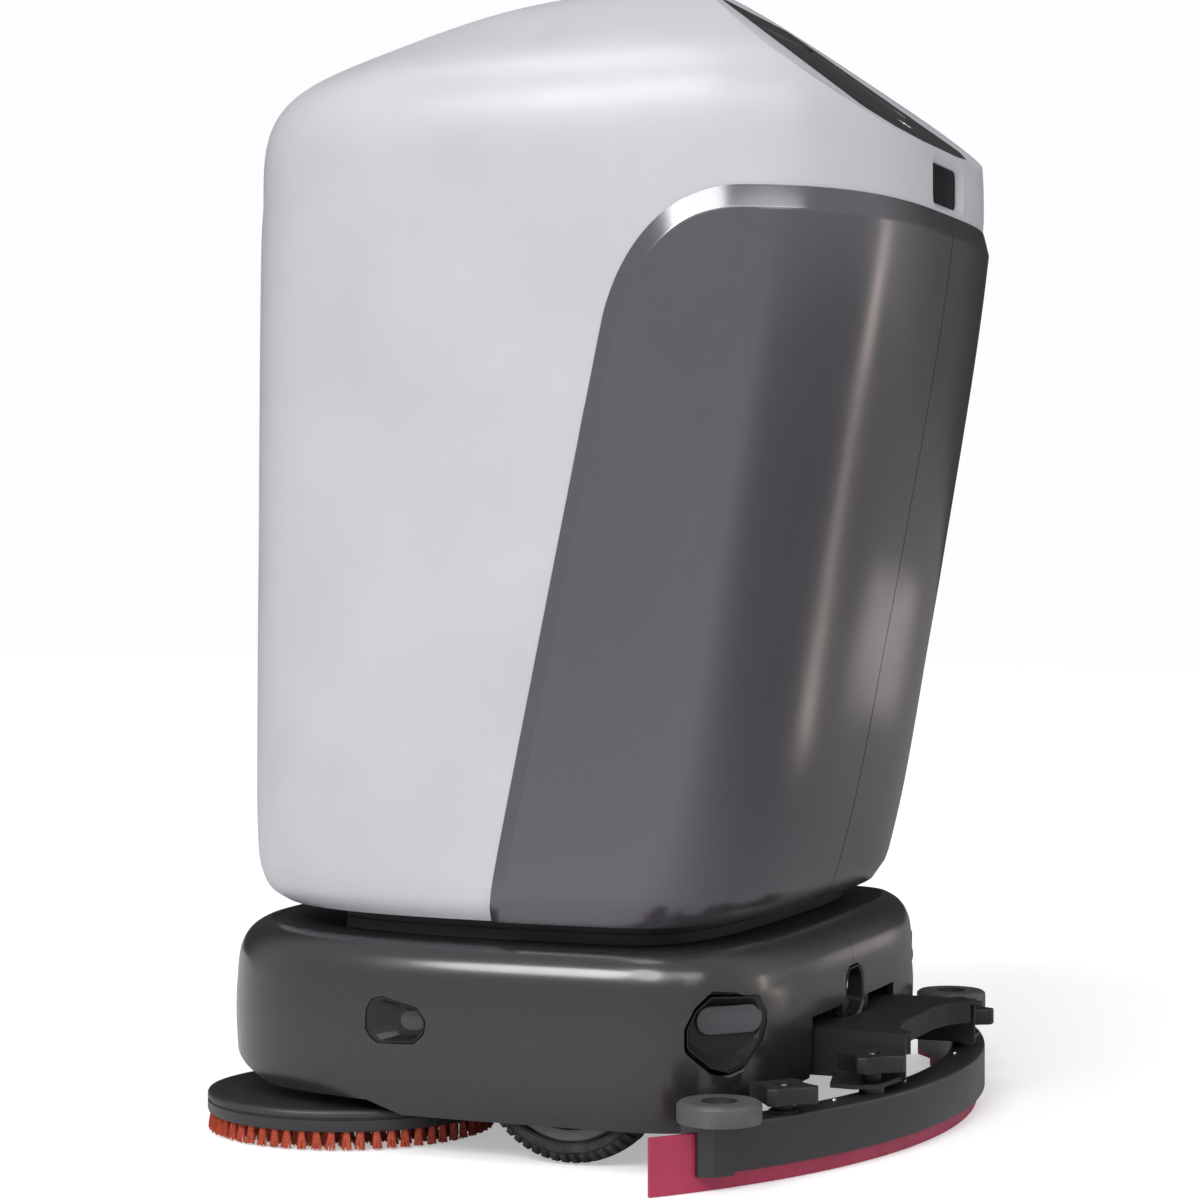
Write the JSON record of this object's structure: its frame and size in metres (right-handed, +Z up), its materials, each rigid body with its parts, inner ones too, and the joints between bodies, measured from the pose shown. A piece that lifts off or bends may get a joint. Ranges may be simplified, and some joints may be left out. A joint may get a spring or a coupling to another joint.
{
  "type": "robotic floor cleaner",
  "caption": "Tall autonomous scrubber-dryer: white shell with grey wrap-round doors on a dark skirted base, disc brushes in front and a curved squeegee behind.",
  "frame": {"origin": "on the floor, under the middle of the whole object's box", "axes": "+Z up, the front of the robot faces -Y, the squeegee is at +Y, the robot's left side is +X"},
  "size_m": [0.8448, 0.7043, 1.112],
  "materials": {
    "shell_white": "satin white moulding",
    "door_anthracite": "satin metallic anthracite paint",
    "skirt_anthracite": "glossy anthracite moulding",
    "sensor_black": "polished black",
    "display_glass": "polished black screen",
    "button_steel": "brushed",
    "stop_red": "smooth red",
    "cover_black": "matt black powder coat",
    "chassis_steel": "plain plate",
    "tyre_rubber": "black rubber",
    "rim_grey": "grey moulding",
    "motor_grey": "cast grey",
    "axle_steel": "zinc plated",
    "battery_case": "dark green case",
    "control_case": "plain",
    "tank_clean": "translucent blue moulding",
    "tank_recovery": "grey moulding",
    "fitting_black": "black moulding",
    "brush_plate": "dark grey moulding",
    "bristle_orange": "orange-red filament",
    "channel_black": "satin dark grey",
    "blade_pink": "magenta elastomer",
    "roller_grey": "satin grey",
    "knob_black": "fine textured black"
  },
  "bodies": {
    "base": {"chassis_frame": "chassis_steel", "left_skirt": "skirt_anthracite", "right_skirt": "skirt_anthracite", "base_top_cover": "cover_black", "neck_band": "cover_black", "laser_scanner": "sensor_black", "left_side_sensor": "sensor_black", "right_side_sensor": "sensor_black", "left_corner_sensor": "sensor_black", "right_corner_sensor": "sensor_black", "rear_sensor": "sensor_black", "left_gearmotor": "motor_grey", "right_gearmotor": "motor_grey", "squeegee_pivot_pin": "axle_steel", "body_floor": "chassis_steel", "body_shell": "shell_white", "console_panel": "sensor_black", "console_display": "display_glass", "rear_window": "sensor_black", "battery_pack": "battery_case", "control_box": "control_case", "water_pump": "fitting_black", "clean_water_tank": "tank_clean", "suction_tube": "fitting_black", "recovery_tank": "tank_recovery", "recovery_tank_lid": "fitting_black", "vacuum_motor": "motor_grey"},
    "left_door": {"left_service_door": "door_anthracite"},
    "right_door": {"right_service_door": "door_anthracite"},
    "power_button": {"power_button": "button_steel"},
    "emergency_stop": {"emergency_stop_button": "stop_red"},
    "left_wheel": {"left_tyre": "tyre_rubber", "left_wheel_rim": "rim_grey"},
    "right_wheel": {"right_tyre": "tyre_rubber", "right_wheel_rim": "rim_grey"},
    "caster": {"caster_fork": "axle_steel"},
    "caster_wheel": {"caster_wheel": "tyre_rubber"},
    "brush_deck": {"brush_deck": "chassis_steel", "left_brush_motor": "fitting_black", "right_brush_motor": "fitting_black", "centre_brush_motor": "fitting_black"},
    "left_brush": {"left_brush_disc": "brush_plate", "left_brush_bristles": "bristle_orange"},
    "right_brush": {"right_brush_disc": "brush_plate", "right_brush_bristles": "bristle_orange"},
    "centre_brush": {"centre_brush_disc": "brush_plate", "centre_brush_bristles": "bristle_orange"},
    "squeegee": {"squeegee_body": "channel_black", "squeegee_blade": "blade_pink", "squeegee_front_blade": "blade_pink", "left_end_block": "channel_black", "right_end_block": "channel_black", "squeegee_carrier": "cover_black"},
    "left_roller": {"left_roller": "roller_grey"},
    "right_roller": {"right_roller": "roller_grey"},
    "left_outer_knob": {"left_outer_star_knob": "knob_black"},
    "left_inner_knob": {"left_inner_star_knob": "knob_black"},
    "right_outer_knob": {"right_outer_star_knob": "knob_black"},
    "right_inner_knob": {"right_inner_star_knob": "knob_black"}
  },
  "joints": [
    {"name": "left_door_hinge", "type": "hinge", "parent": "base", "child": "left_door", "pos_m": [0.33, -0.0125, 0.217], "axis": [0, -0.2071, -0.9783], "range_deg": [0, 100]},
    {"name": "right_door_hinge", "type": "hinge", "parent": "base", "child": "right_door", "pos_m": [-0.33, -0.0125, 0.217], "axis": [0, 0.2071, 0.9783], "range_deg": [0, 100]},
    {"name": "power_button_press", "type": "slide", "parent": "base", "child": "power_button", "axis": [0, -0.6004, -0.7997], "range_m": [0, 0.002], "stiffness_N_per_m": 2000, "springref_m": -0.001},
    {"name": "emergency_stop_press", "type": "slide", "parent": "base", "child": "emergency_stop", "axis": [0, 1, 0], "range_m": [0, 0.004], "stiffness_N_per_m": 2500, "springref_m": -0.001},
    {"name": "left_wheel_spin", "type": "hinge", "parent": "base", "child": "left_wheel", "pos_m": [0.297, 0.0665, 0.093], "axis": [1, 0, 0], "continuous": true},
    {"name": "right_wheel_spin", "type": "hinge", "parent": "base", "child": "right_wheel", "pos_m": [-0.297, 0.0665, 0.093], "axis": [1, 0, 0], "continuous": true},
    {"name": "caster_swivel", "type": "hinge", "parent": "base", "child": "caster", "pos_m": [0, -0.28, 0.1], "axis": [0, 0, 1], "continuous": true},
    {"name": "caster_wheel_spin", "type": "hinge", "parent": "caster", "child": "caster_wheel", "pos_m": [0, -0.256, 0.0375], "axis": [1, 0, 0], "continuous": true},
    {"name": "brush_deck_lift", "type": "slide", "parent": "base", "child": "brush_deck", "axis": [0, 0, 1], "range_m": [0, 0.008]},
    {"name": "left_brush_spin", "type": "hinge", "parent": "brush_deck", "child": "left_brush", "pos_m": [0.205, -0.2065, 0.03], "axis": [0, 0, 1], "continuous": true},
    {"name": "right_brush_spin", "type": "hinge", "parent": "brush_deck", "child": "right_brush", "pos_m": [-0.205, -0.2065, 0.03], "axis": [0, 0, 1], "continuous": true},
    {"name": "centre_brush_spin", "type": "hinge", "parent": "brush_deck", "child": "centre_brush", "pos_m": [0, -0.0085, 0.03], "axis": [0, 0, 1], "continuous": true},
    {"name": "squeegee_lift", "type": "hinge", "parent": "base", "child": "squeegee", "pos_m": [0, 0.175, 0.1], "axis": [1, 0, 0], "range_deg": [0, 7]},
    {"name": "left_roller_spin", "type": "hinge", "parent": "squeegee", "child": "left_roller", "pos_m": [0.377, 0.2365, 0.07], "axis": [0, 0, 1], "continuous": true},
    {"name": "left_outer_knob_turn", "type": "hinge", "parent": "squeegee", "child": "left_outer_knob", "pos_m": [0.285, 0.2645, 0.07], "axis": [0, 0, 1], "continuous": true},
    {"name": "left_inner_knob_turn", "type": "hinge", "parent": "squeegee", "child": "left_inner_knob", "pos_m": [0.16, 0.3087, 0.085], "axis": [0, 0, 1], "continuous": true},
    {"name": "right_roller_spin", "type": "hinge", "parent": "squeegee", "child": "right_roller", "pos_m": [-0.377, 0.2365, 0.07], "axis": [0, 0, 1], "continuous": true},
    {"name": "right_outer_knob_turn", "type": "hinge", "parent": "squeegee", "child": "right_outer_knob", "pos_m": [-0.285, 0.2645, 0.07], "axis": [0, 0, 1], "continuous": true},
    {"name": "right_inner_knob_turn", "type": "hinge", "parent": "squeegee", "child": "right_inner_knob", "pos_m": [-0.16, 0.3087, 0.085], "axis": [0, 0, 1], "continuous": true}
  ]
}
